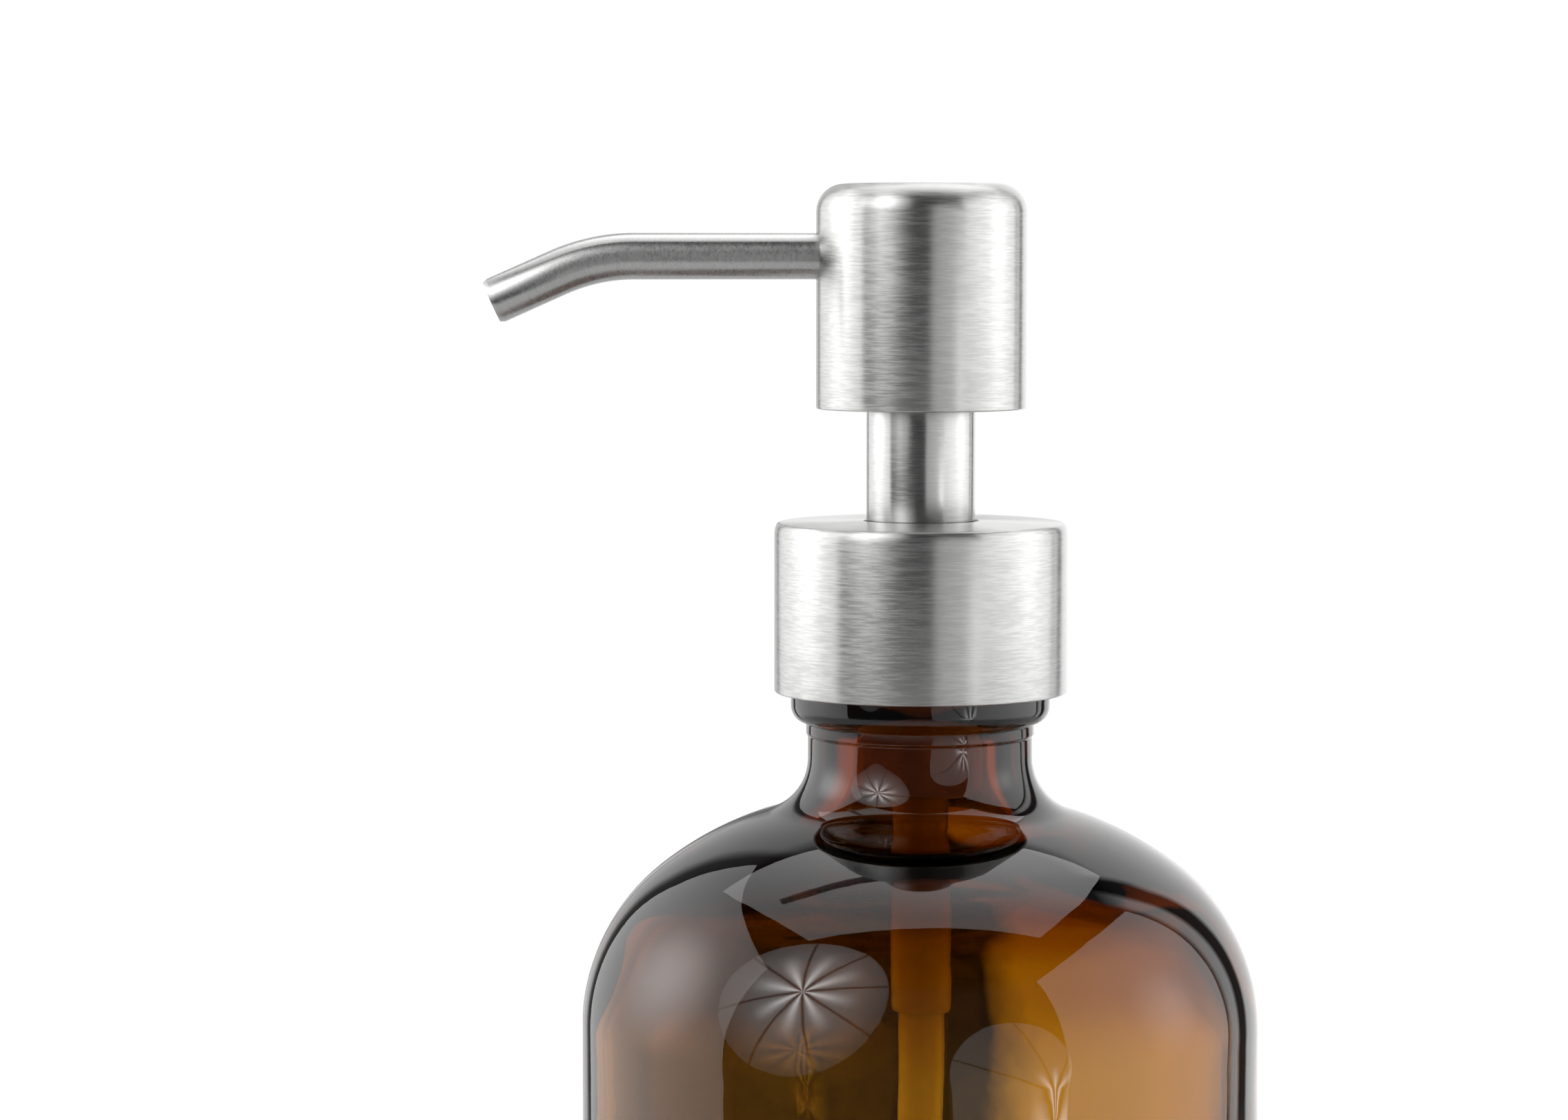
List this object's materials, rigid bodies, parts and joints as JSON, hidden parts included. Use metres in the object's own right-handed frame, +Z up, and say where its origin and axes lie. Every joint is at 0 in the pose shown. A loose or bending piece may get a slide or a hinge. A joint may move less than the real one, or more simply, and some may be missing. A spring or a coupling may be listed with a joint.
{
  "type": "soap pump dispenser",
  "caption": "Round-shouldered amber glass bottle with a brushed steel hand pump: screw-on collar, sprung head and bent spout.",
  "frame": {"origin": "centre of the bottle's foot, on the surface it stands on", "axes": "+Z up along the bottle's axis, -X towards the spout, +Y to the back"},
  "size_m": [0.0863, 0.0756, 0.2105],
  "materials": {
    "amber_glass": "gloss",
    "brushed_steel": "satin, brushed round the axis",
    "polished_steel": "polished",
    "bright_steel": "bright",
    "white_plastic": "gloss",
    "natural_plastic": "translucent, semi-gloss",
    "grey_plastic": "matte"
  },
  "bodies": {
    "bottle": {"glass_bottle": "amber_glass"},
    "pump_body": {"neck_gasket": "white_plastic", "pump_housing": "natural_plastic", "guide_ring": "white_plastic", "dip_tube": "natural_plastic", "ball_cage": "white_plastic"},
    "collar": {"threaded_closure": "grey_plastic", "steel_collar": "brushed_steel"},
    "spring": {"return_spring": "bright_steel"},
    "plunger": {"valve_rod": "white_plastic", "pump_stem": "white_plastic", "stem_sleeve": "polished_steel", "head_core": "grey_plastic", "steel_head": "brushed_steel", "spout": "brushed_steel", "spout_liner": "white_plastic"},
    "piston": {"piston": "natural_plastic"},
    "inlet_ball": {"inlet_ball": "bright_steel"}
  },
  "joints": [
    {"name": "pump_lift", "type": "slide", "parent": "bottle", "child": "pump_body", "axis": [0, 0, 1], "range_m": [0, 0.0053]},
    {"name": "collar_turn", "type": "hinge", "parent": "pump_body", "child": "collar", "pos_m": [0, 0, 0.162], "axis": [0, 0, 1], "range_deg": [0, 450]},
    {"name": "pump_stroke", "type": "slide", "parent": "pump_body", "child": "spring", "axis": [0, 0, -1], "range_m": [0, 0.0115], "stiffness_N_per_m": 800, "springref_m": -0.01, "deforming": ["return_spring"]},
    {"name": "head_swivel", "type": "hinge", "parent": "spring", "child": "plunger", "pos_m": [0, 0, 0.19], "axis": [0, 0, 1], "continuous": true},
    {"name": "piston_slip", "type": "slide", "parent": "plunger", "child": "piston", "axis": [0, 0, 1], "range_m": [0, 0.0008]},
    {"name": "ball_lift", "type": "slide", "parent": "pump_body", "child": "inlet_ball", "axis": [0, 0, 1], "range_m": [0, 0.0015]}
  ],
  "couplings": [
    {"joint": "pump_lift", "follows": "collar_turn", "m_per_rad": 0.0006737}
  ]
}
